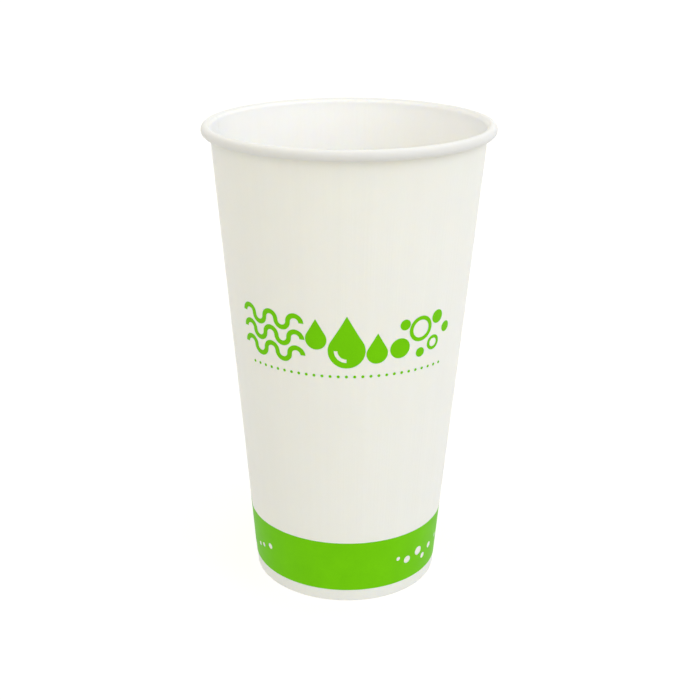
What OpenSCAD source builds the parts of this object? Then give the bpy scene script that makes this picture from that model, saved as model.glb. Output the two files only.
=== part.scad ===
// Paper cold cup: a conical board sidewall with a lapped side seam, a rim rolled outward
// and a foot folded up inside, which grips the skirt of a recessed bottom disc.
// Millimetres, +Z up, origin at the centre of the foot, front towards -Y.

/* [Cup] */
// Height from the table to the top of the rolled rim
cup_h = 175; // [120:1:190]
// Outside diameter over the rolled rim
rim_d = 104.5; // [96:0.5:112]
// Outside diameter of the wall at the table
foot_d = 70.3; // [60:0.1:78]

/* [Board] */
// Thickness of the coated board of the sidewall
board_t = 0.45; // [0.38:0.01:0.55]
// Thickness of the coated board of the bottom disc
disc_t = 0.4; // [0.3:0.01:0.5]
// Clearance left for the coating that seals two boards together
seal_gap = 0.04; // [0.03:0.01:0.06]

/* [Rolled rim] */
// Outside diameter of the roll, across its section
roll_d = 3.5; // [3.3:0.1:4.2]
// Gap between one turn of the roll and the next
roll_gap = 0.1; // [0.06:0.01:0.16]
// How far the tucked end of the board goes round inside the roll
roll_tuck = 110; // [40:5:160]

/* [Foot] */
// Height of the hem that is folded up inside the foot
hem_h = 8; // [5:0.5:9]
// How far the fold is pressed flat on the table
foot_press = 0.08; // [0.03:0.01:0.12]

/* [Bottom disc] */
// Height of the disc's upper face above the table
disc_h = 10.5; // [10:0.5:14]
// Inside radius of the bend between the disc and its skirt
disc_bend = 0.8; // [0.5:0.1:1.5]

/* [Side seam] */
// Width of the lap where the two ends of the sidewall blank overlap
seam_w = 7; // [5:0.5:9]
// Width over which the outer end climbs onto the inner one
ramp_w = 2.6; // [2:0.1:3.2]
// Direction of the middle of the lap, turned from the front towards the right
seam_turn = 263; // [200:1:300]

/* [Print] */
// Thickness of the ink film
ink_t = 0.06; // [0.04:0.01:0.08]
// Clearance between the ink film and the board
ink_gap = 0.03; // [0.02:0.01:0.04]
// Lower edge of the printed band
band_low = 5; // [3:0.5:10]
// Upper edge of the printed band
band_high = 26; // [22:0.5:40]
// Height of the middle of the printed motif, as a share of the cup's height
motif_share = 0.617; // [0.5:0.001:0.7]

/* [Motif] */
// Width of the big drop in the middle
drop_w = 13; // [8:0.5:14]
// Height of a drop, as a multiple of its width
drop_rise = 1.5; // [1.3:0.05:1.7]
// Width of the drop on each side of the big one
side_drop_w = 7.6; // [4:0.2:8]
// Turn from the big drop to each side drop
side_drop_turn = 14; // [12:0.5:16]
// How far one side drop sits above the motif's middle and the other below it
side_drop_shift = 2.6; // [0:0.1:4]
// Number of wave strokes, one over the other
wave_rows = 3; // [1:1:4]
// Number of half rings in a wave stroke
wave_arcs = 5; // [3:2:7]
// Radius of a half ring of the waves, to the middle of the stroke
wave_r = 2.5; // [2:0.1:3]
// Width of a wave stroke
wave_w = 1.8; // [1:0.1:2]
// Distance from one wave stroke to the next
wave_rise = 6; // [5:0.5:7]
// Turn from the front to the middle of the waves
wave_turn = -37; // [-45:1:-34]
// Distance from the motif's middle down to the row of small dots
row_drop = 13; // [12.5:0.5:16]
// Number of small dots in that row
row_count = 27; // [9:1:35]
// Turn between one small dot of the row and the next
row_step = 3.8; // [3:0.1:5]
// Diameter of a small dot of the row
row_dot_d = 1.1; // [0.8:0.1:1.6]

/* [Hidden] */
full_turn_fn = 160;
round_fn = 48;
bend_steps = 8;
drop_steps = 20;
quarter_turn = 90;
half_turn = 180;

foot_r = foot_d / 2;
// The wall leans so that the roll, which sits outside it, ends at the rim diameter.
roll_r = roll_d / 2;
roll_in_r = roll_r - board_t;
roll_z = cup_h - roll_r;
lean = atan((rim_d / 2 - roll_d + board_t - foot_r) / roll_z);
// Each half turn of the roll is smaller in radius by half of this pitch.
roll_pitch = board_t + roll_gap;

// The fold at the foot holds the skirt of the disc between wall and hem.
fold_in_r = disc_t / 2 + seal_gap;
fold_r = fold_in_r + board_t;
fold_z = fold_r - foot_press;

// Places along the wall, measured up its outer face from the table.
function along(z, x = 0) = (z + x * sin(lean)) / cos(lean);
roll_y = along(roll_z, roll_in_r);
fold_y = along(fold_z, -fold_r);
hem_top_y = along(hem_h, -fold_r);
skirt_x = -board_t - seal_gap;
bend_x = skirt_x - disc_t - disc_bend;
bend_z = disc_h - disc_t - disc_bend;
bend_y = along(bend_z, bend_x);
bend_r = foot_r + bend_x * cos(lean) + bend_y * sin(lean);

// Radius of the wall's outer face at a height.
function wall_r(z) = foot_r + z * tan(lean);
seam_r = wall_r(cup_h / 2);

// The outer end of the blank leaves the wall along a straight ramp, then lies on the inner end.
ramp_slope = (board_t - pow(ramp_w, 2) / 2 / seam_r) / ramp_w;
lap_w = ramp_w + seam_w;
lap_start = seam_turn - quarter_turn - (ramp_w + seam_w / 2) / seam_r * half_turn / PI;
lap_low_y = along(fold_z);
lap_high_y = roll_y - roll_r;
groove_low_y = along(disc_h);
// Depth of the cutting shapes behind the wall's face, more than the wall curves away across the lap.
lap_depth = 3;
// How far a cutting shape reaches past what it cuts.
cut_margin = 1;
// How far the print's shapes reach to each side of the wall's face.
print_depth = 2;

motif_h = cup_h * motif_share;
row_h = motif_h - row_drop;
// Edges of the light on the big drop, as shares of the drop's width.
light_out = 0.34;
light_in = 0.24;
// Open dots in the band: turn from the front, height, diameter.
band_dots = [
    [-66, 12.8, 1.8], [-60, 14.2, 1.8], [-52, 16, 2.4],
    [33.5, 15.8, 1.7], [40.5, 14, 3.1], [50, 15.5, 3.7], [55.5, 11.8, 2.4], [63, 14.2, 2.6], [74, 15, 1.8]
];
// Bubbles of the motif: turn from the front, height over its middle, diameter, inside diameter.
bubbles = [
    [25, -3.5, 7.5, 0], [27, 5, 4, 0], [35.5, 2.5, 9.5, 6.6], [36, -6.5, 3.6, 0],
    [43.5, -4, 5.6, 3.2], [45, 5.5, 5, 0], [51.5, 0.5, 4, 0]
];

// Moves a flat shape into the frame of the leaning wall: x out of the board, y up along it.
module in_wall() {
    translate([foot_r, 0]) rotate(-lean) children();
}

// The stretch of a flat ring between two directions.
module arc_band(r_out, r_in, from, to) {
    steps = 4;
    reach = 2 * r_out;
    turns = [for (i = [0:steps]) from + (to - from) * i / steps];
    intersection() {
        difference() {
            circle(r_out, $fn = round_fn);
            circle(r_in, $fn = round_fn);
        }
        polygon(concat([[0, 0]], [for (t = turns) reach * [cos(t), sin(t)]]));
    }
}

// Half of a ring: the upper half for side = 1, the lower half for side = -1.
module half_ring(r_out, r_in, side) {
    intersection() {
        difference() {
            circle(r_out, $fn = round_fn);
            circle(r_in, $fn = round_fn);
        }
        translate([-2 * r_out, side > 0 ? 0 : -2 * r_out]) square([4 * r_out, 2 * r_out]);
    }
}

module roll_section() {
    second_r = roll_r - roll_pitch / 2;
    third_r = roll_r - roll_pitch;
    translate([roll_in_r, roll_y]) half_ring(roll_r, roll_r - board_t, 1);
    translate([roll_in_r + roll_pitch / 2, roll_y]) half_ring(second_r, second_r - board_t, -1);
    translate([roll_in_r, roll_y]) {
        arc_band(third_r, third_r - board_t, half_turn - roll_tuck, half_turn);
    }
}

module wall_section() {
    intersection() {
        in_wall() {
            translate([-board_t, fold_y]) square([board_t, roll_y - fold_y]);
            translate([-2 * fold_r, fold_y]) square([board_t, hem_top_y - fold_y]);
            translate([-fold_r, fold_y]) half_ring(fold_r, fold_in_r, -1);
            roll_section();
        }
        square([rim_d, cup_h]);
    }
}

// A strip that follows the wall all round, from one depth to another and from y_low to y_high.
module wall_strip(x_in, x_out, y_low, y_high) {
    rotate_extrude($fn = full_turn_fn) {
        in_wall() translate([x_in, y_low]) square([x_out - x_in, y_high - y_low]);
    }
}

// A straight bar along the wall at the lap, from one place across it to another, under a plane
// that rises at the ramp's slope.
module ramp_bar(rise, from, to, y_low, y_high) {
    rotate([0, 0, lap_start]) translate([foot_r, 0, 0]) rotate([0, lean, 0]) {
        translate([0, 0, y_low]) linear_extrude(y_high - y_low) polygon([
            [-lap_depth, from], [rise + ramp_slope * from, from],
            [rise + ramp_slope * to, to], [-lap_depth, to]
        ]);
    }
}

module sidewall() {
    color("#e6e6dc") difference() {
        union() {
            rotate_extrude($fn = full_turn_fn) wall_section();
            intersection() {
                wall_strip(-board_t / 2, board_t, lap_low_y, lap_high_y);
                ramp_bar(0, 0, lap_w, lap_low_y, lap_high_y);
            }
        }
        ramp_bar(-board_t, 0, ramp_w, groove_low_y, lap_high_y);
    }
}

// Points of an arc about a centre, from one direction to another.
function arc_points(centre, r, from, to, steps) =
    [for (i = [0:steps]) let (t = from + (to - from) * i / steps) centre + r * [cos(t), sin(t)]];

module disc_section() {
    centre = [bend_r, bend_z];
    down = (bend_y - fold_y) * [-sin(lean), -cos(lean)];
    upper = arc_points(centre, disc_bend + disc_t, quarter_turn, -lean, bend_steps);
    lower = arc_points(centre, disc_bend, -lean, quarter_turn, bend_steps);
    skirt_end = [upper[bend_steps] + down, lower[0] + down];
    polygon(concat([[0, disc_h]], upper, skirt_end, lower, [[0, disc_h - disc_t]]));
}

module base_disc() {
    color("#eceadf") rotate_extrude($fn = full_turn_fn) disc_section();
}

// Pushes an upright flat shape through the wall's face at a turn from the front and a height.
module through_ink(turn, z) {
    rotate([0, 0, turn]) translate([0, -wall_r(z), z]) rotate([quarter_turn + lean, 0, 0]) {
        translate([0, 0, -print_depth]) linear_extrude(2 * print_depth) children();
    }
}

// Ink on the ramp and the lap, which lies over the outer end of the blank.
module lap_ink(y_low, y_high) {
    difference() {
        intersection() {
            wall_strip(0, board_t + ink_gap + ink_t, y_low, y_high);
            ramp_bar(ink_gap + ink_t, 0, lap_w, y_low, y_high);
        }
        intersection() {
            wall_strip(-board_t, board_t + ink_gap, y_low - cut_margin, y_high + cut_margin);
            ramp_bar(ink_gap, -cut_margin, lap_w + cut_margin, y_low - cut_margin, y_high + cut_margin);
        }
    }
}

// The ink stops a hair short of the lap on both sides of it.
module printed_band() {
    y_low = along(band_low);
    y_high = along(band_high);
    color("#6cc800") {
        difference() {
            wall_strip(ink_gap, ink_gap + ink_t, y_low, y_high);
            ramp_bar(board_t + cut_margin, -ink_gap, lap_w + ink_gap, y_low - cut_margin, y_high + cut_margin);
            for (d = band_dots) through_ink(d[0], d[1]) circle(d = d[2], $fn = round_fn);
        }
        lap_ink(y_low, y_high);
    }
}

// A drop with straight shoulders: its round end is centred on the origin and its tip points up.
module drop(width) {
    r = width / 2;
    tip = drop_rise * width - r;
    side = acos(r / tip);
    polygon(concat([[0, tip]], arc_points([0, 0], r, quarter_turn - side, side - 3 * quarter_turn, drop_steps)));
}

// The light on the round side of the big drop: a ring's stretch between its two edges.
module drop_light(width) {
    arc_band(width * light_out, width * light_in, half_turn, half_turn + quarter_turn);
}

// One wave stroke: half rings that open up and down by turns.
module wave_stroke() {
    for (i = [0:wave_arcs - 1]) translate([(i - (wave_arcs - 1) / 2) * 2 * wave_r, 0]) {
        half_ring(wave_r + wave_w / 2, wave_r - wave_w / 2, i % 2 == 0 ? 1 : -1);
    }
}

module motif_shapes() {
    big_sink = (drop_rise - 1) / 2 * drop_w;
    side_sink = (drop_rise - 1) / 2 * side_drop_w;
    through_ink(0, motif_h - big_sink) difference() {
        drop(drop_w);
        drop_light(drop_w);
    }
    for (side = [-1, 1]) through_ink(side * side_drop_turn, motif_h - side * side_drop_shift - side_sink) {
        drop(side_drop_w);
    }
    through_ink(wave_turn, motif_h) for (k = [0:wave_rows - 1]) {
        translate([0, (k - (wave_rows - 1) / 2) * wave_rise]) wave_stroke();
    }
    for (b = bubbles) through_ink(b[0], motif_h + b[1]) difference() {
        circle(d = b[2], $fn = round_fn);
        circle(d = b[3], $fn = round_fn);
    }
    for (i = [0:row_count - 1]) {
        through_ink((i - (row_count - 1) / 2) * row_step, row_h) circle(d = row_dot_d, $fn = round_fn);
    }
}

module printed_motif() {
    y_low = along(row_h - 2 * row_dot_d);
    y_high = along(motif_h + 2 * drop_w);
    color("#6cc800") intersection() {
        wall_strip(ink_gap, ink_gap + ink_t, y_low, y_high);
        motif_shapes();
    }
}

sidewall();
base_disc();
printed_band();
printed_motif();
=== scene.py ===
"""Paper cold cup: fine meshes of the board and its print, their materials, and a plain studio."""
import math

import bpy
import numpy as np
from mathutils import Matrix, Vector
from mathutils.geometry import delaunay_2d_cdt


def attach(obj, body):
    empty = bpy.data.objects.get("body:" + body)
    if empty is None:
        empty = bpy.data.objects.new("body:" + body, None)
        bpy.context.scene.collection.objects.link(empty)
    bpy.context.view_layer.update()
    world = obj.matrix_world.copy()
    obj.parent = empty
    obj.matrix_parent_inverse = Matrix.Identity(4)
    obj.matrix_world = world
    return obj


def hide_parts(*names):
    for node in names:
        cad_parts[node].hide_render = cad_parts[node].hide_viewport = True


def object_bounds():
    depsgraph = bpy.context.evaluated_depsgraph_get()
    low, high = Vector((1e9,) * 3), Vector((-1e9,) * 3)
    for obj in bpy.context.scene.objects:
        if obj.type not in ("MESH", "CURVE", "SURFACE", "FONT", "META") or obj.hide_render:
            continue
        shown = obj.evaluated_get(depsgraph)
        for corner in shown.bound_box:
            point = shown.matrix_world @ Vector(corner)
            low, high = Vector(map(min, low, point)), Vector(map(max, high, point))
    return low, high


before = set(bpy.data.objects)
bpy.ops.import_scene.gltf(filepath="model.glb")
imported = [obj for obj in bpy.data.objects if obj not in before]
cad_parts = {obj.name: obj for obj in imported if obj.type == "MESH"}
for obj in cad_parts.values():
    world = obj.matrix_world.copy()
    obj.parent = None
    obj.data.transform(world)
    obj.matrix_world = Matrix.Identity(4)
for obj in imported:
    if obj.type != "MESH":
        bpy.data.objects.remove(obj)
cad_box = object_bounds()

# Sizes in millimetres. The cup's own box is read from the frame, the others repeat the construction's.
MM = 0.001
FOOT_R = 35.15
BOARD_T = 0.45
DISC_T = 0.4
SEAL_GAP = 0.04
ROLL_R = 1.75
ROLL_GAP = 0.1
ROLL_TUCK = 110.0
HEM_H = 8.0
FOOT_PRESS = 0.08
DISC_H = 10.5
DISC_BEND = 0.8
SEAM_W = 7.0
RAMP_W = 2.6
SEAM_TURN = math.radians(263)

BAND_LOW = 5.0
BAND_HIGH = 26.0
MOTIF_H = 107.975
DROP_W = 13.0
DROP_RISE = 1.5
SIDE_DROP_W = 7.6
SIDE_DROP_TURN = 14.0
SIDE_DROP_SHIFT = 2.6
LIGHT_OUT, LIGHT_IN = 0.34, 0.24
WAVE_ROWS = 3
WAVE_ARCS = 5
WAVE_R = 2.5
WAVE_W = 1.8
WAVE_RISE = 6.0
WAVE_TURN = -37.0
ROW_DROP = 13.0
ROW_COUNT = 27
ROW_STEP = 3.8
ROW_DOT_D = 1.1

# Turn from the front in degrees, height and diameter of each open dot in the band.
BAND_DOTS = [
    (-66, 12.8, 1.8), (-60, 14.2, 1.8), (-52, 16.0, 2.4),
    (33.5, 15.8, 1.7), (40.5, 14.0, 3.1), (50, 15.5, 3.7), (55.5, 11.8, 2.4), (63, 14.2, 2.6), (74, 15.0, 1.8),
]
# Turn, height over the motif's middle, diameter and inside diameter of each bubble.
BUBBLES = [
    (25, -3.5, 7.5, 0), (27, 5, 4, 0), (35.5, 2.5, 9.5, 6.6), (36, -6.5, 3.6, 0),
    (43.5, -4, 5.6, 3.2), (45, 5.5, 5, 0), (51.5, 0.5, 4, 0),
]

# The small forms that only these meshes have.
EDGE_STEP = 0.02
INK_LOW = 0.01
INK_HIGH = 0.03
WAVINESS = 0.05
KNURL_DEPTH = 0.07
KNURLS = 135
# Share of the ramp's depth that is left in the face that goes over the roll.
ROLL_STEP = 0.35
ROLL_TALLER = 1.16
DISH = 0.25

# How the meshes are divided.
COLUMNS = 420
RAMP_COLUMNS = 7
LAP_COLUMNS = 12
HEM_ROWS = 8
FOLD_ROWS = 14
FOOT_ROWS = 5
WALL_ROWS = 26
UNDER_ROLL = 6.0
UNDER_ROLL_ROWS = 8
ROLL_ROWS = 20
RETURN_ROWS = 18
TUCK_ROWS = 10
DISC_COLUMNS = 240
BEND_ROWS = 10
PANEL_ROWS = 24
BAND_ROWS = 16
DOT_CORNERS = 40
DROP_CORNERS = 41
LIGHT_OUT_CORNERS = 21
LIGHT_IN_CORNERS = 17
WAVE_CORNERS = 15
BUBBLE_CORNERS = 56
HOLE_CORNERS = 48
ROW_CORNERS = 24
FILL_STEP = 0.8
FILL_CLEAR = 0.25
HEM, FOLD, WALL, ROLL, TUCK = range(5)

CUP_H = cad_box[1][2] / MM
RIM_R = cad_box[1][1] / MM
ROLL_Z = CUP_H - ROLL_R
ROLL_IN_R = ROLL_R - BOARD_T
LEAN = math.atan((RIM_R - 2 * ROLL_R + BOARD_T - FOOT_R) / ROLL_Z)
SIN, COS = math.sin(LEAN), math.cos(LEAN)
ROLL_PITCH = BOARD_T + ROLL_GAP
FOLD_IN_R = DISC_T / 2 + SEAL_GAP
FOLD_R = FOLD_IN_R + BOARD_T
SEAM_R = FOOT_R + CUP_H / 2 * math.tan(LEAN)
RAMP_SLOPE = (BOARD_T - RAMP_W ** 2 / 2 / SEAM_R) / RAMP_W
LAP_W = RAMP_W + SEAM_W
LAP_START = SEAM_TURN - math.pi / 2 - (RAMP_W + SEAM_W / 2) / SEAM_R
LAP_EDGE = LAP_W + EDGE_STEP / 2
REST_W = 2 * math.pi * SEAM_R - LAP_W


def along(z, x=0.0):
    """Distance up the wall's outer face at which depth x lies at height z."""
    return (z + x * SIN) / COS


ROLL_Y = along(ROLL_Z, ROLL_IN_R)
FOLD_Y = along(FOLD_R - FOOT_PRESS, -FOLD_R)
HEM_TOP_Y = along(HEM_H, -FOLD_R)


def steps(low, high, count):
    return np.linspace(low, high, count, endpoint=False)


def board_path():
    """The board's middle line in the wall's frame, from the hem's edge to the tucked end of the roll:
    its points, the directions towards its outer face, and the part of the cup that each point belongs to."""
    hem_x = -2 * FOLD_R + BOARD_T / 2
    rows = [(hem_x, y, -1.0, 0.0, HEM) for y in steps(HEM_TOP_Y, FOLD_Y, HEM_ROWS)]

    def arc(cx, cy, r, start, end, count, side, kind):
        for t in np.radians(steps(start, end, count)):
            across, up = math.cos(t), math.sin(t)
            rows.append((cx + r * across, cy + r * up, side * across, side * up, kind))

    arc(-FOLD_R, FOLD_Y, FOLD_R - BOARD_T / 2, 180, 360, FOLD_ROWS, 1, FOLD)
    heights = np.concatenate([
        steps(FOLD_Y, along(BAND_LOW), FOOT_ROWS),
        steps(along(BAND_LOW), ROLL_Y - UNDER_ROLL, WALL_ROWS),
        steps(ROLL_Y - UNDER_ROLL, ROLL_Y, UNDER_ROLL_ROWS),
    ])
    rows.extend((-BOARD_T / 2, y, 1.0, 0.0, WALL) for y in heights)
    middle_r = ROLL_R - BOARD_T / 2
    arc(ROLL_IN_R, ROLL_Y, middle_r, 180, 0, ROLL_ROWS, -1, ROLL)
    arc(ROLL_IN_R + ROLL_PITCH / 2, ROLL_Y, middle_r - ROLL_PITCH / 2, 360, 180, RETURN_ROWS, -1, ROLL)
    arc(ROLL_IN_R, ROLL_Y, middle_r - ROLL_PITCH, 180, 180 - ROLL_TUCK, TUCK_ROWS, -1, TUCK)
    table = np.array(rows)
    return table[:, 0:2], table[:, 2:4], table[:, 4].astype(int)


def column_values():
    """Widths across the seam from the foot of its ramp, then round the rest of the wall."""
    seam = np.concatenate([
        steps(0, RAMP_W - EDGE_STEP / 2, RAMP_COLUMNS),
        steps(RAMP_W + EDGE_STEP / 2, LAP_W - EDGE_STEP / 2, LAP_COLUMNS),
        [LAP_W - EDGE_STEP / 2, LAP_EDGE],
    ])
    return np.concatenate([seam, LAP_EDGE + np.arange(1, COLUMNS) / COLUMNS * REST_W])


def turn_of(column, r):
    """Direction of a column at radius r. The columns run straight and parallel across the seam."""
    end = np.arcsin(LAP_EDGE / r)
    inside = np.arcsin(np.clip(column / r, -1, 1))
    outside = end + (column - LAP_EDGE) / REST_W * (2 * math.pi - end)
    return LAP_START + np.where(column <= LAP_EDGE, inside, outside)


def climb(column, r):
    return np.minimum(RAMP_SLOPE * column + column ** 2 / 2 / r, BOARD_T)


def lap_rise(column, r):
    """How far the outer face stands out at the seam."""
    return np.where(column < LAP_W, np.where(column < RAMP_W, climb(column, r), BOARD_T), 0.0)


def groove_depth(column, r):
    """How far the inner face steps back behind the ramp."""
    return np.where(column < RAMP_W, climb(column, r) * 0.96, 0.0)


def smooth_step(x, low, high):
    t = np.clip((x - low) / (high - low), 0, 1)
    return t * t * (3 - 2 * t)


def waviness(turn, z):
    """Faint upright waves of the board, which fade out at the roll and the foot."""
    fade = smooth_step(z, 2, 12) * smooth_step(z, ROLL_Z - 2, ROLL_Z - 14)
    waves = (np.sin(7 * turn + 1.3) + 0.7 * np.sin(17 * turn + 0.4 + z / 90) + 0.5 * np.sin(31 * turn + 2.1)
             + 0.35 * np.sin(53 * turn - z / 60))
    return WAVINESS / 2.55 * fade * waves


def to_world(x, y, turn):
    """Points of the wall's frame, turned about the axis, in metres."""
    r = FOOT_R + x * COS + y * SIN
    z = np.maximum(y * COS - x * SIN, 0.0)
    return np.stack([r * np.cos(turn), r * np.sin(turn), z + 0 * turn], -1) * MM


def add_mesh(name, vertices, faces, materials, face_material=None):
    mesh = bpy.data.meshes.new(name)
    mesh.from_pydata([tuple(v) for v in vertices], [], faces)
    for material in materials:
        mesh.materials.append(material)
    if face_material is not None:
        mesh.polygons.foreach_set("material_index", face_material)
    mesh.update()
    piece = bpy.data.objects.new(name, mesh)
    bpy.context.scene.collection.objects.link(piece)
    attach(piece, "root")
    return piece


def smooth_by_angle(piece, degrees):
    """Smooth shading, with sharp edges where faces meet at more than an angle."""
    mesh = piece.data
    mesh.polygons.foreach_set("use_smooth", [True] * len(mesh.polygons))
    mesh.set_sharp_from_angle(angle=math.radians(degrees))


def build_sidewall(materials):
    """The board as one closed sheet: hem, fold, wall with its lapped seam, and roll."""
    points, normals, kind = board_path()
    col = column_values()[None, :]
    x, y = points[:, :1], points[:, 1:]
    nx, ny = normals[:, :1], normals[:, 1:]
    kind = kind[:, None]
    z = y * COS - x * SIN
    r = FOOT_R + x * COS + y * SIN
    turn = turn_of(col, r)
    on_wall = kind == WALL
    wave = np.where(on_wall, waviness(turn, z), 0.0)
    # The lap fades out at the fold and under the roll, and the groove starts over the disc.
    below_roll = 1 - smooth_step(y, ROLL_Y - 1.2 * ROLL_R, ROLL_Y - 0.6 * ROLL_R)
    lap = np.where(on_wall, smooth_step(z, 0.2, 1.2) * below_roll, 0.0)
    to_roll = 1 - (1 - ROLL_STEP) * smooth_step(y, ROLL_Y - 2 * ROLL_R, ROLL_Y)
    groove = np.where(on_wall, smooth_step(z, DISC_H - 0.5, DISC_H + 0.5) * to_roll, 0.0)
    groove = np.where(kind == ROLL, ROLL_STEP, groove)
    ribs = 0.5 + 0.5 * np.sin(KNURLS * turn)
    knurl = np.where(kind == HEM, smooth_step(z, 1, 2.5), 0.0) * KNURL_DEPTH * ribs
    outer = BOARD_T / 2 + wave + lap_rise(col, r) * lap - knurl
    inner = -BOARD_T / 2 + wave + groove_depth(col, r) * groove
    # The roll is a little taller than it is wide.
    taller = np.where(kind >= ROLL, ROLL_TALLER, 1.0)
    outer_side = to_world(x + nx * outer, ROLL_Y + (y + ny * outer - ROLL_Y) * taller, turn)
    inner_side = to_world(x + nx * inner, ROLL_Y + (y + ny * inner - ROLL_Y) * taller, turn)
    outline = np.concatenate([outer_side, inner_side[::-1]], 0)
    rows, columns = outline.shape[:2]
    vertices = outline.transpose(1, 0, 2).reshape(-1, 3)
    i, j = np.meshgrid(np.arange(rows), np.arange(columns), indexing="ij")
    i2, j2 = (i + 1) % rows, (j + 1) % columns
    quads = np.stack([j * rows + i, j2 * rows + i, j2 * rows + i2, j * rows + i2], -1).reshape(-1, 4)
    # The face behind the wall is the cup's inside, and goes on as the visible side of the roll.
    use = np.concatenate([np.zeros(len(points)), kind[::-1, 0] >= WALL]).astype(int)
    piece = add_mesh("board_sidewall", vertices, quads.tolist(), materials, use[i.reshape(-1)].tolist())
    smooth_by_angle(piece, 35)
    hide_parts("sidewall")
    return piece


def build_disc(material):
    """The bottom disc: skirt, bend, and a panel with a faint dish."""
    bend_x = -BOARD_T - SEAL_GAP - DISC_T - DISC_BEND
    bend_z = DISC_H - DISC_T - DISC_BEND
    bend_y = along(bend_z, bend_x)
    bend_r = FOOT_R + bend_x * COS + bend_y * SIN
    skirt = bend_y - FOLD_Y

    def side(radius):
        foot = (bend_r + radius * COS - skirt * SIN, bend_z - radius * SIN - skirt * COS)
        turns = np.linspace(-LEAN, math.pi / 2, BEND_ROWS)
        bend = [(bend_r + radius * math.cos(t), bend_z + radius * math.sin(t)) for t in turns]
        places = np.linspace(bend_r, 0, PANEL_ROWS)[1:-1]
        panel = [(q, bend_z + radius - DISH * (1 - (q / bend_r) ** 2)) for q in places]
        return [foot] + bend + panel

    middle = [(0.0, DISC_H - DISH), (0.0, DISC_H - DISC_T - DISH)]
    outline = side(DISC_BEND + DISC_T) + middle + side(DISC_BEND)[::-1]
    columns = DISC_COLUMNS
    vertices, index = [], []
    for radius, z in outline:
        first = len(vertices)
        if radius == 0:
            vertices.append((0.0, 0.0, z * MM))
            index.append([first] * columns)
            continue
        for j in range(columns):
            t = j / columns * 2 * math.pi
            vertices.append((radius * math.cos(t) * MM, radius * math.sin(t) * MM, z * MM))
        index.append(list(range(first, first + columns)))
    faces = []
    for i in range(len(outline)):
        a, b = index[i], index[(i + 1) % len(outline)]
        for j in range(columns):
            k = (j + 1) % columns
            corners = list(dict.fromkeys([a[j], a[k], b[k], b[j]]))
            if len(corners) > 2:
                faces.append(corners)
    piece = add_mesh("board_disc", vertices, faces, [material])
    smooth_by_angle(piece, 40)
    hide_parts("base_disc")
    return piece


def circle_loop(radius, count):
    return [(radius * math.cos(t), radius * math.sin(t)) for t in steps(0, 2 * math.pi, count)]


def arc_loop(centre, radius, from_deg, to_deg, count):
    return [(centre[0] + radius * math.cos(t), centre[1] + radius * math.sin(t))
            for t in np.radians(np.linspace(from_deg, to_deg, count))]


def drop_loop(width):
    r = width / 2
    tip = DROP_RISE * width - r
    side = math.degrees(math.acos(r / tip))
    return [(0.0, tip)] + arc_loop((0.0, 0.0), r, 90 - side, side - 270, DROP_CORNERS)


def wave_loops():
    """Half rings that open up and down by turns, joined into one outline for each stroke."""
    outer, inner = WAVE_R + WAVE_W / 2, WAVE_R - WAVE_W / 2
    loops = []
    for k in range(WAVE_ROWS):
        v = (k - (WAVE_ROWS - 1) / 2) * WAVE_RISE
        upper, lower = [], []
        for i in range(WAVE_ARCS):
            centre = ((i - (WAVE_ARCS - 1) / 2) * 2 * WAVE_R, v)
            if i % 2 == 0:
                upper += arc_loop(centre, outer, 180, 0, WAVE_CORNERS)
                lower += arc_loop(centre, inner, 180, 0, WAVE_CORNERS)
            else:
                upper += arc_loop(centre, inner, 180, 360, WAVE_CORNERS)
                lower += arc_loop(centre, outer, 180, 360, WAVE_CORNERS)
        loops.append(upper + lower[::-1])
    return loops


def set_on_wall(points, z0):
    """Flat points that are pushed straight through the wall's face at a height, as directions round the
    axis and places along the wall."""
    u, v = points[:, 0], points[:, 1]
    y = along(z0) + v
    r = FOOT_R + y * SIN
    return np.arcsin(u / r), y


def triangulate(loops, extra):
    """A flat triangulation of the space between closed loops, with more points inside it."""
    points, edges = [], []
    for loop in loops:
        start = len(points)
        points += [tuple(p) for p in loop]
        edges += [(start + i, start + (i + 1) % len(loop)) for i in range(len(loop))]
    points += [tuple(p) for p in extra]
    flat, _, triangles, _, _, _ = delaunay_2d_cdt([Vector(p) for p in points], edges, [], 4, 1e-7)
    return np.array([tuple(p) for p in flat]), np.array([tuple(t) for t in triangles])


def inside_loop(points, loop):
    """Even-odd test of points against one closed loop."""
    x, y = points[:, 0], points[:, 1]
    result = np.zeros(len(points), dtype=bool)
    for (x1, y1), (x2, y2) in zip(loop, loop[1:] + loop[:1]):
        if y1 == y2:
            continue
        crosses = ((y1 > y) != (y2 > y)) & (x < (x2 - x1) * (y - y1) / (y2 - y1) + x1)
        result ^= crosses
    return result


def film_mesh(flat, triangles, loops):
    """Keeps the triangles whose middle is inside an odd number of loops, and doubles them into a
    closed film."""
    middle = flat[triangles].mean(1)
    keep = np.zeros(len(triangles), dtype=bool)
    for loop in loops:
        keep ^= inside_loop(middle, loop)
    triangles = triangles[keep]
    used = np.unique(triangles)
    renumber = np.zeros(len(flat), dtype=int)
    renumber[used] = np.arange(len(used))
    flat, triangles = flat[used], renumber[triangles]
    count = len(flat)
    edges = {(a, b) for t in triangles.tolist() for a, b in ((t[0], t[1]), (t[1], t[2]), (t[2], t[0]))}
    faces = triangles.tolist() + (triangles[:, ::-1] + count).tolist()
    faces += [[b, a, a + count, b + count] for a, b in edges if (b, a) not in edges]
    return flat, faces


def wall_point(turn, y, depth, column=None):
    """A point at a depth over the waved wall. turn is the direction, y the place along the wall."""
    z = y * COS
    out = depth + waviness(turn, z)
    if column is not None:
        out = out + lap_rise(column, FOOT_R + y * SIN)
    return to_world(out, y, turn)


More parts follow.
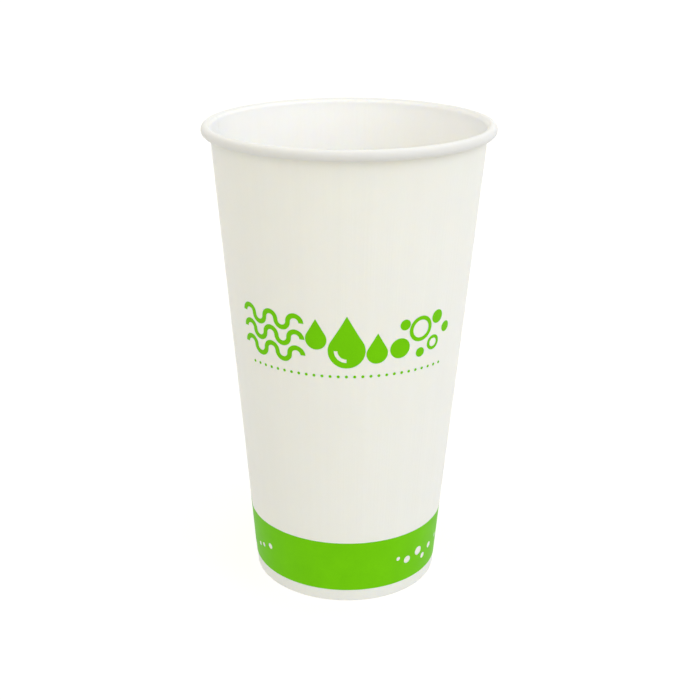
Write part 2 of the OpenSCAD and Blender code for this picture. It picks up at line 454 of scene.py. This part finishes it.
def build_band(material):
    """The printed band, flat as column and place along the wall, so that it climbs over the lap."""
    low, high = along(BAND_LOW), along(BAND_HIGH)
    width = LAP_EDGE + REST_W
    columns = np.append(column_values(), width)
    inner_rows = np.linspace(low, high, BAND_ROWS)
    outline = ([(c, low) for c in columns] + [(width, y) for y in inner_rows[1:-1]]
               + [(c, high) for c in columns[::-1]] + [(0.0, y) for y in inner_rows[-2:0:-1]])
    dots = []
    for turn, z, diameter in BAND_DOTS:
        loop = np.array(circle_loop(diameter / 2, DOT_CORNERS))
        around, y = set_on_wall(loop, z)
        r = FOOT_R + y * SIN
        end = np.arcsin(LAP_EDGE / r)
        ahead = (math.radians(turn) - math.pi / 2 + around - LAP_START) % (2 * math.pi)
        column = LAP_EDGE + (ahead - end) / (2 * math.pi - end) * REST_W
        dots.append(list(zip(column.tolist(), y.tolist())))
    fill = np.array([(c, y) for c in columns[1:-1:2] for y in inner_rows[1:-1]])
    clear = np.ones(len(fill), dtype=bool)
    for dot in dots:
        centre = np.mean(dot, 0)
        clear &= np.hypot(*(fill - centre).T) > 1.25 * np.ptp(np.array(dot)[:, 1]) / 2
    flat, triangles = triangulate([outline] + dots, fill[clear])
    flat, faces = film_mesh(flat, triangles, [outline] + dots)
    # The two ends of the flat sheet meet at the foot of the ramp.
    sets = []
    for depth in (INK_HIGH, INK_LOW):
        column, y = flat[:, 0], flat[:, 1]
        r = FOOT_R + y * SIN
        at_end = column > width - 1e-6
        turn = turn_of(column, r)
        turn = np.where(at_end, LAP_START + 2 * math.pi, turn)
        sets.append(wall_point(turn, y, depth, np.where(at_end, 0.0, column)))
    vertices = np.concatenate(sets)
    piece = add_mesh("ink_band", vertices, faces, [material])
    smooth_by_angle(piece, 45)
    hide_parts("printed_band")
    return piece


def build_motif(material):
    """Drops, waves, bubbles and a row of dots, as films that follow the wall."""
    shapes = []
    big_sink = (DROP_RISE - 1) / 2 * DROP_W
    side_sink = (DROP_RISE - 1) / 2 * SIDE_DROP_W
    light = arc_loop((0, 0), DROP_W * LIGHT_OUT, 180, 270, LIGHT_OUT_CORNERS)
    light += arc_loop((0, 0), DROP_W * LIGHT_IN, 270, 180, LIGHT_IN_CORNERS)
    shapes.append((0.0, MOTIF_H - big_sink, [drop_loop(DROP_W), light]))
    for side in (-1, 1):
        height = MOTIF_H - side * SIDE_DROP_SHIFT - side_sink
        shapes.append((side * SIDE_DROP_TURN, height, [drop_loop(SIDE_DROP_W)]))
    shapes.extend((WAVE_TURN, MOTIF_H, [loop]) for loop in wave_loops())
    for turn, rise, diameter, hole in BUBBLES:
        loops = [circle_loop(diameter / 2, BUBBLE_CORNERS)]
        if hole:
            loops.append(circle_loop(hole / 2, HOLE_CORNERS))
        shapes.append((turn, MOTIF_H + rise, loops))
    for i in range(ROW_COUNT):
        turn = (i - (ROW_COUNT - 1) / 2) * ROW_STEP
        shapes.append((turn, MOTIF_H - ROW_DROP, [circle_loop(ROW_DOT_D / 2, ROW_CORNERS)]))
    vertices, faces = [], []
    for turn, z, loops in shapes:
        corners = np.array([p for loop in loops for p in loop])
        low, high = corners.min(0), corners.max(0)
        across = np.arange(low[0], high[0], FILL_STEP)
        upward = np.arange(low[1], high[1], FILL_STEP)
        fill = np.array([(u, v) for u in across for v in upward])
        odd = np.zeros(len(fill), dtype=bool)
        near = np.full(len(fill), np.inf)
        for loop in loops:
            odd ^= inside_loop(fill, loop)
            apart = fill[:, None, :] - np.array(loop)[None, :, :]
            near = np.minimum(near, np.hypot(apart[..., 0], apart[..., 1]).min(1))
        flat, triangles = triangulate(loops, fill[odd & (near > FILL_CLEAR)])
        flat, shape_faces = film_mesh(flat, triangles, loops)
        around, y = set_on_wall(flat, z)
        direction = math.radians(turn) - math.pi / 2 + around
        start = sum(len(v) for v in vertices)
        vertices += [wall_point(direction, y, INK_HIGH), wall_point(direction, y, INK_LOW)]
        faces += [[start + i for i in face] for face in shape_faces]
    piece = add_mesh("ink_motif", np.concatenate(vertices), faces, [material])
    smooth_by_angle(piece, 45)
    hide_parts("printed_motif")
    return piece


class Nodes:
    """A small helper that builds a material's node tree."""

    def __init__(self, name):
        self.material = bpy.data.materials.new(name)
        self.material.use_nodes = True
        self.tree = self.material.node_tree
        self.shader = self.tree.nodes["Principled BSDF"]
        self.object_place = self.tree.nodes.new("ShaderNodeTexCoord").outputs["Object"]
        self.parts = self.add("ShaderNodeSeparateXYZ", {"Vector": self.object_place}).outputs

    def add(self, kind, inputs=None, **settings):
        node = self.tree.nodes.new(kind)
        for key, value in settings.items():
            setattr(node, key, value)
        for key, value in (inputs or {}).items():
            self.put(node.inputs[key], value)
        return node

    def put(self, socket, value):
        if isinstance(value, bpy.types.NodeSocket):
            self.tree.links.new(value, socket)
        else:
            socket.default_value = value

    def math(self, operation, a, b=0.0):
        return self.add("ShaderNodeMath", {0: a, 1: b}, operation=operation).outputs[0]

    def scaled(self, x, y, z):
        return self.add("ShaderNodeMapping", {"Vector": self.object_place, "Scale": (x, y, z)}).outputs[0]

    def noise(self, vector, scale, detail, roughness):
        inputs = {"Vector": vector, "Scale": scale, "Detail": detail, "Roughness": roughness}
        return self.add("ShaderNodeTexNoise", inputs).outputs["Fac"]

    def span(self, value, low, high, to_low=0.0, to_high=1.0):
        inputs = {"Value": value, "From Min": low, "From Max": high, "To Min": to_low, "To Max": to_high}
        return self.add("ShaderNodeMapRange", inputs).outputs["Result"]

    def mix(self, factor, a, b, blend="MIX"):
        node = self.add("ShaderNodeMix", data_type="RGBA", blend_type=blend)
        self.put(node.inputs["Factor"], factor)
        self.put(node.inputs[6], a)
        self.put(node.inputs[7], b)
        return node.outputs[2]

    def bump(self, height, distance, strength=1.0, normal=None):
        inputs = {"Height": height, "Distance": distance, "Strength": strength}
        if normal is not None:
            inputs["Normal"] = normal
        return self.add("ShaderNodeBump", inputs).outputs["Normal"]

    def flat_place(self):
        return self.add("ShaderNodeCombineXYZ", {"X": self.parts["X"], "Y": self.parts["Y"]}).outputs[0]

    def outwards(self, start, end):
        """0 to 1 over a distance in millimetres out from the wall's inner face."""
        radius = self.add("ShaderNodeVectorMath", {0: self.flat_place()}, operation="LENGTH").outputs["Value"]
        lean_out = self.math("MULTIPLY", self.parts["Z"], math.tan(LEAN))
        wall = self.math("ADD", lean_out, (FOOT_R - BOARD_T / COS) * MM)
        return self.span(self.math("SUBTRACT", radius, wall), start * MM, end * MM)

    def upwards(self, start, end):
        """0 to 1 between two heights in millimetres."""
        return self.span(self.parts["Z"], start * MM, end * MM)

    def angle_place(self, per_turn, per_metre):
        """Direction round the axis and height, for marks that run up the wall."""
        unit = self.add("ShaderNodeVectorMath", {0: self.flat_place()}, operation="NORMALIZE").outputs[0]
        wide = self.add("ShaderNodeVectorMath", {0: unit, "Scale": per_turn}, operation="SCALE").outputs[0]
        turned = self.add("ShaderNodeSeparateXYZ", {"Vector": wide}).outputs
        tall = self.math("MULTIPLY", self.parts["Z"], per_metre)
        return self.add("ShaderNodeCombineXYZ", {"X": turned["X"], "Y": turned["Y"], "Z": tall}).outputs[0]


def board_material(name, pale, warm, roughness, coat, painted_roll_shades=None):
    """Coated paperboard: fibres under a smooth coat, faint upright streaks and cloudy tone.
    The roll's two tones are painted shade: they darken the face that goes over the roll, at its top and at its
    outer side."""
    n = Nodes(name)
    streak = n.noise(n.angle_place(14, 3), 1.0, 4, 0.6)
    fine_streak = n.noise(n.angle_place(60, 12), 1.0, 3, 0.55)
    cloud = n.noise(n.scaled(1, 1, 1), 55, 4, 0.6)
    fibre = n.noise(n.scaled(1, 1, 0.35), 2600, 3, 0.65)
    tone = n.math("ADD", n.span(streak, 0.3, 0.7, -0.5, 0.5), n.span(cloud, 0.3, 0.7, -0.35, 0.35))
    tone = n.math("ADD", tone, n.span(fibre, 0.35, 0.65, -0.25, 0.25))
    colour = n.mix(n.span(tone, -1, 1), pale, warm)
    if painted_roll_shades is not None:
        # Painted shade on the roll: its top and outer side are darkened in the colour.
        roll_shade_mask = n.math("MULTIPLY", n.outwards(*ROLL_PAINTED_SHADE_START), n.upwards(*ROLL_PAINTED_SHADE_HEIGHTS))
        painted_roll_shade = n.mix(n.outwards(*ROLL_PAINTED_SHADE_TURN), *painted_roll_shades)
        colour = n.mix(roll_shade_mask, colour, n.mix(1.0, colour, painted_roll_shade, "MULTIPLY"))
    n.put(n.shader.inputs["Base Color"], colour)
    uneven = n.math("ADD", cloud, fine_streak)
    n.put(n.shader.inputs["Roughness"], n.span(uneven, 0.6, 1.4, roughness - 0.05, roughness + 0.05))
    n.put(n.shader.inputs["Coat Weight"], coat)
    n.put(n.shader.inputs["Coat Roughness"], 0.3)
    n.put(n.shader.inputs["Specular IOR Level"], 0.14)
    n.put(n.shader.inputs["Subsurface Weight"], 1.0)
    n.put(n.shader.inputs["Subsurface Radius"], (1.0, 0.92, 0.75))
    n.put(n.shader.inputs["Subsurface Scale"], 0.0004)
    ripple = n.bump(fine_streak, 0.00012, 0.5)
    n.put(n.shader.inputs["Normal"], n.bump(fibre, 0.00003, 0.45, ripple))
    return n.material


def ink_material(name):
    """Flat print ink: a slightly uneven layer that lets a little of the board's fibre through."""
    n = Nodes(name)
    cloud = n.noise(n.scaled(1, 1, 1), 120, 4, 0.6)
    speck = n.noise(n.scaled(1, 1, 1), 3200, 2, 0.6)
    tone = n.math("ADD", n.span(cloud, 0.3, 0.7, -0.5, 0.5), n.span(speck, 0.35, 0.7, -0.5, 0.5))
    colour = n.mix(n.span(tone, -1, 1), INK_DEEP, INK_LIGHT)
    n.put(n.shader.inputs["Base Color"], colour)
    n.put(n.shader.inputs["Roughness"], n.span(speck, 0.3, 0.7, 0.4, 0.5))
    n.put(n.shader.inputs["Specular IOR Level"], 0.07)
    n.put(n.shader.inputs["Normal"], n.bump(speck, 0.00002, 0.4))
    return n.material


# Colours are linear.
BOARD_PALE = (0.825, 0.826, 0.79, 1)
BOARD_WARM = (0.805, 0.804, 0.762, 1)
# The inside's tones are paler than the outer board's. The difference is painted light: the brightness that
# light bouncing inside the cup gives.
INSIDE_PALE_WITH_PAINTED_LIGHT = (0.97, 0.964, 0.936, 1)
INSIDE_WARM_WITH_PAINTED_LIGHT = (0.952, 0.942, 0.9, 1)
# Painted shade: two tones that darken the roll's top and then its outer side.
ROLL_PAINTED_SHADES = (0.8, 0.8, 0.805, 1), (0.765, 0.765, 0.77, 1)
# Where the roll's first painted shade sets in and where it turns into the second, in millimetres out from
# the wall's inner face, and the heights over which both set in.
ROLL_PAINTED_SHADE_START = (0.1, 0.7)
ROLL_PAINTED_SHADE_TURN = (2.6, 3.4)
ROLL_PAINTED_SHADE_HEIGHTS = (CUP_H - 4.8, CUP_H - 3.8)
INK_DEEP = (0.145, 0.525, 0.0, 1)
INK_LIGHT = (0.174, 0.595, 0.0, 1)

outside = board_material("coated_board", BOARD_PALE, BOARD_WARM, 0.42, 0.08)
# The inside and the disc take the paler tones with painted light.
inside = board_material("coated_board_inside", INSIDE_PALE_WITH_PAINTED_LIGHT, INSIDE_WARM_WITH_PAINTED_LIGHT, 0.44, 0.1, ROLL_PAINTED_SHADES)
disc = board_material("coated_board_disc", INSIDE_PALE_WITH_PAINTED_LIGHT, INSIDE_WARM_WITH_PAINTED_LIGHT, 0.46, 0.08)
ink = ink_material("green_print")

build_sidewall([outside, inside])
build_disc(disc)
build_band(ink)
build_motif(ink)


def seen_ray(tree):
    """1 for the rays that show a background: the camera's own, and those of gloss and glass."""
    path = tree.nodes.new("ShaderNodeLightPath")
    result = path.outputs["Is Camera Ray"]
    for other in ("Is Glossy Ray", "Is Transmission Ray"):
        node = tree.nodes.new("ShaderNodeMath")
        node.operation = "MAXIMUM"
        tree.links.new(result, node.inputs[0])
        tree.links.new(path.outputs[other], node.inputs[1])
        result = node.outputs[0]
    return result


def floor():
    mesh = bpy.data.meshes.new("floor")
    sides = ((-1, -1), (1, -1), (1, 1), (-1, 1))
    mesh.from_pydata([(x * FLOOR_HALF, y * FLOOR_HALF, 0) for x, y in sides], [], [(0, 1, 2, 3)])
    piece = bpy.data.objects.new("floor", mesh)
    bpy.context.scene.collection.objects.link(piece)
    n = Nodes("studio_floor")
    n.put(n.shader.inputs["Base Color"], FLOOR_COLOUR)
    n.put(n.shader.inputs["Roughness"], 0.9)
    n.put(n.shader.inputs["Specular IOR Level"], 0.1)
    # The floor is a dim light table. Seen directly it glows more, so that only the cup's shadow shows on it.
    n.put(n.shader.inputs["Emission Color"], FLOOR_LIGHT)
    glow = n.math("MULTIPLY", seen_ray(n.tree), FLOOR_SEEN - FLOOR_GLOW)
    n.put(n.shader.inputs["Emission Strength"], n.math("ADD", glow, FLOOR_GLOW))
    mesh.materials.append(n.material)
    return piece


def world_light(low, high, brightest, flags):
    """Soft light from all round, strongest from one direction, with dark flags at both sides.
    Seen directly it is plain white."""
    world = bpy.data.worlds.new("studio")
    bpy.context.scene.world = world
    world.use_nodes = True
    tree = world.node_tree
    place = tree.nodes.new("ShaderNodeTexCoord")
    towards = tree.nodes.new("ShaderNodeVectorMath")
    towards.operation = "DOT_PRODUCT"
    towards.inputs[1].default_value = Vector(brightest).normalized()
    span = tree.nodes.new("ShaderNodeMapRange")
    split = tree.nodes.new("ShaderNodeSeparateXYZ")
    square, dimmed, strength = (tree.nodes.new("ShaderNodeMath") for _ in range(3))
    square.operation = strength.operation = "MULTIPLY"
    dimmed.operation = "MULTIPLY_ADD"
    mix = tree.nodes.new("ShaderNodeMixShader")
    seen = tree.nodes.new("ShaderNodeBackground")
    seen.inputs["Color"].default_value = (1, 1, 1, 1)
    back = tree.nodes["Background"]
    tree.links.new(place.outputs["Generated"], towards.inputs[0])
    tree.links.new(towards.outputs["Value"], span.inputs["Value"])
    span.inputs["From Min"].default_value = -1
    span.inputs["To Min"].default_value = low
    span.inputs["To Max"].default_value = high
    tree.links.new(place.outputs["Generated"], split.inputs[0])
    tree.links.new(split.outputs["X"], square.inputs[0])
    tree.links.new(split.outputs["X"], square.inputs[1])
    tree.links.new(square.outputs[0], dimmed.inputs[0])
    dimmed.inputs[1].default_value = -flags
    dimmed.inputs[2].default_value = 1
    tree.links.new(span.outputs["Result"], strength.inputs[0])
    tree.links.new(dimmed.outputs[0], strength.inputs[1])
    back.inputs["Color"].default_value = WORLD_COLOUR
    tree.links.new(strength.outputs[0], back.inputs["Strength"])
    tree.links.new(seen_ray(tree), mix.inputs["Fac"])
    tree.links.new(back.outputs[0], mix.inputs[1])
    tree.links.new(seen.outputs[0], mix.inputs[2])
    tree.links.new(mix.outputs[0], tree.nodes["World Output"].inputs["Surface"])


def lamp(name, place, target, size, power, colour):
    data = bpy.data.lights.new(name, "AREA")
    data.energy = power
    data.color = colour
    data.size = size
    piece = bpy.data.objects.new(name, data)
    bpy.context.scene.collection.objects.link(piece)
    piece.location = place
    piece.rotation_euler = (Vector(target) - Vector(place)).to_track_quat("-Z", "Y").to_euler()
    return piece


# The floor reaches this many metres from the cup to each side.
FLOOR_HALF = 6.0
FLOOR_COLOUR = (0.26, 0.258, 0.25, 1)
FLOOR_LIGHT = (1, 0.99, 0.965, 1)
FLOOR_GLOW = 0.48
FLOOR_SEEN = 0.8
WORLD_COLOUR = (1.0, 0.986, 0.93, 1)
KEY_COLOUR = (0.66, 0.76, 1.0)

floor()
world_light(low=0.63, high=1.36, brightest=(0.22, -0.68, 0.7), flags=0.32)
lamp("key", place=(0.9, -0.53, 0.93), target=(0, 0, 0.1), size=0.7, power=3.7, colour=KEY_COLOUR)

# The camera's angles in degrees, its distance and lens in millimetres, its shift in frame widths.
CAMERA_PITCH = 21.105
CAMERA_ROLL = -0.320
CAMERA_YAW = -1.990
CAMERA_TILT = -0.408
CAMERA_DISTANCE = 459.1
CAMERA_LENS = 62.05
CAMERA_SHIFT = (0.0648, 0.0154)


def camera():
    """The photograph's camera, from a fit of its outlines. It looks at the middle of the cup's height."""
    pitch, roll = math.radians(CAMERA_PITCH), math.radians(CAMERA_ROLL)
    yaw, tilt = math.radians(CAMERA_YAW), math.radians(CAMERA_TILT)
    back = Vector((0, -math.cos(pitch), math.sin(pitch)))
    place = (Vector((0, 0, CUP_H / 2)) + CAMERA_DISTANCE * back) * MM
    forward = -back
    right = Vector((1, 0, 0))
    up = right.cross(forward)
    forward = (forward + math.tan(yaw) * right + math.tan(tilt) * up).normalized()
    right = forward.cross(Vector((0, 0, 1))).normalized()
    up = right.cross(forward)
    rolled_right = math.cos(roll) * right + math.sin(roll) * up
    rolled_up = -math.sin(roll) * right + math.cos(roll) * up
    data = bpy.data.cameras.new("camera")
    data.sensor_fit = "HORIZONTAL"
    data.sensor_width = 36.0
    data.lens = CAMERA_LENS
    data.shift_x, data.shift_y = CAMERA_SHIFT
    data.clip_start = 0.01
    piece = bpy.data.objects.new("camera", data)
    bpy.context.scene.collection.objects.link(piece)
    turn = Matrix((rolled_right, rolled_up, -forward)).transposed()
    piece.matrix_world = Matrix.Translation(place) @ turn.to_4x4()
    bpy.context.scene.camera = piece


camera()
bpy.context.scene.view_settings.view_transform = "Standard"
